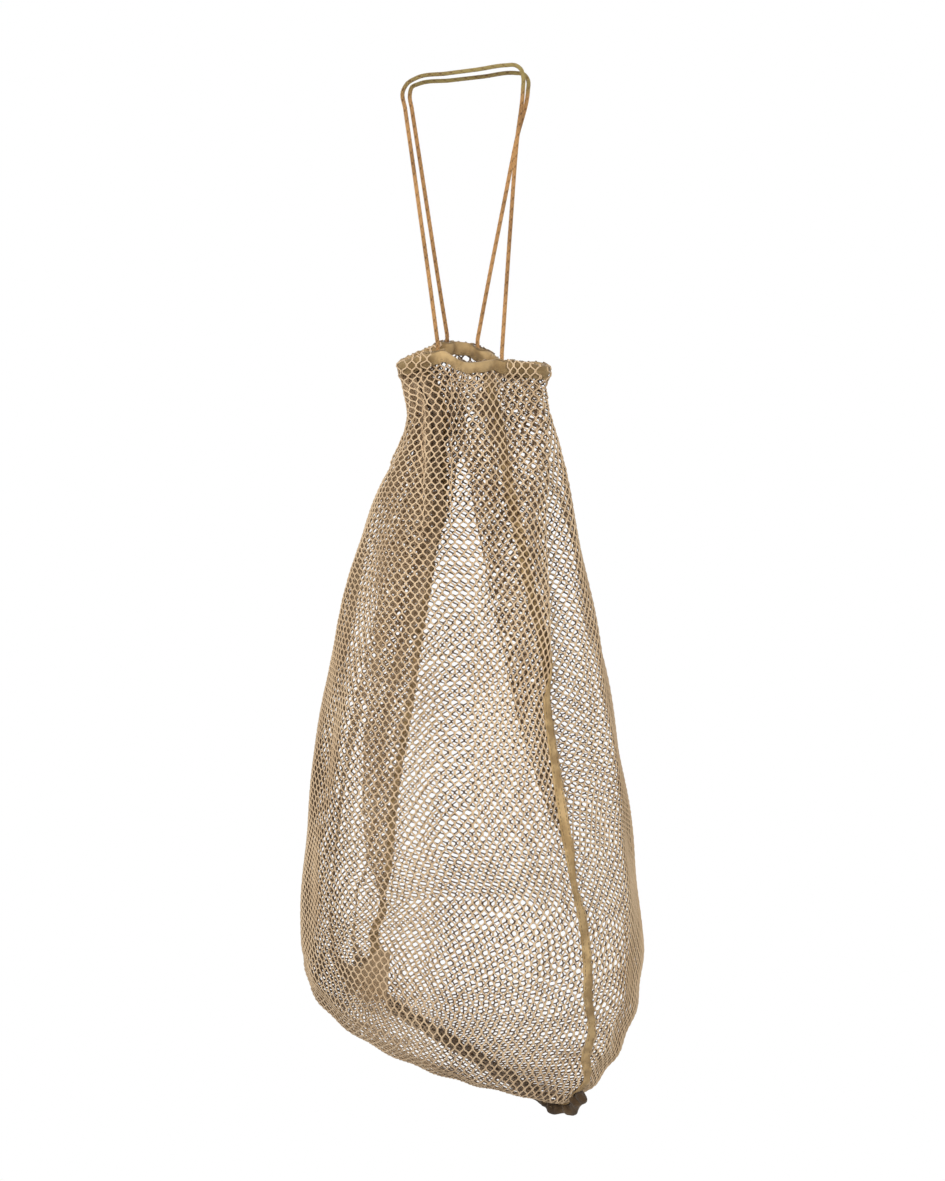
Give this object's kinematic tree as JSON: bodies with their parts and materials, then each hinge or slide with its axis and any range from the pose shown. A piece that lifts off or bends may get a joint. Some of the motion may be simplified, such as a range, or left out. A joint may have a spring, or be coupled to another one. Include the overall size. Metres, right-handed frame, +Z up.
{
  "type": "mesh drawstring bag",
  "caption": "Open net drawstring bag hanging full by its cord loops, with taped seams, a gathered mouth casing and a crumpled bottom hem.",
  "frame": {"origin": "crown of the two cord loops, where a hook or a hand holds the bag up", "axes": "+Z up along the hanging bag, +X to its right seen from the front, +Y to its back"},
  "size_m": [0.2639, 0.2542, 0.7911],
  "materials": {
    "net": "knitted matt yarn",
    "tape": "woven tape",
    "hem": "crumpled woven tape",
    "cord": "braided cord",
    "thread": "sewing thread"
  },
  "bodies": {
    "bag": {"front_net_panel": "net", "back_net_panel": "net", "right_seam_tape": "tape", "left_seam_tape": "tape", "bottom_seam_tape": "hem", "right_seam_stitch": "thread", "left_seam_stitch": "thread", "bottom_seam_stitch": "thread", "front_casing": "tape", "back_casing": "tape", "front_casing_stitch": "thread", "back_casing_stitch": "thread", "front_left_buttonhole": "thread", "front_right_buttonhole": "thread", "back_left_buttonhole": "thread", "back_right_buttonhole": "thread", "left_cord_run": "cord", "right_cord_run": "cord"},
    "front_loop": {"front_loop": "cord"},
    "back_loop": {"back_loop": "cord"}
  },
  "joints": [
    {"name": "front_loop_swing", "type": "hinge", "parent": "bag", "child": "front_loop", "pos_m": [-0.02098, -0.00898, -0.19735], "axis": [0.9817, -0.0906, -0.1677], "range_deg": [0, 95]},
    {"name": "back_loop_swing", "type": "hinge", "parent": "bag", "child": "back_loop", "pos_m": [-0.0142, 0.014, -0.19456], "axis": [0.9434, 0.2907, -0.1596], "range_deg": [-95, 0]}
  ]
}
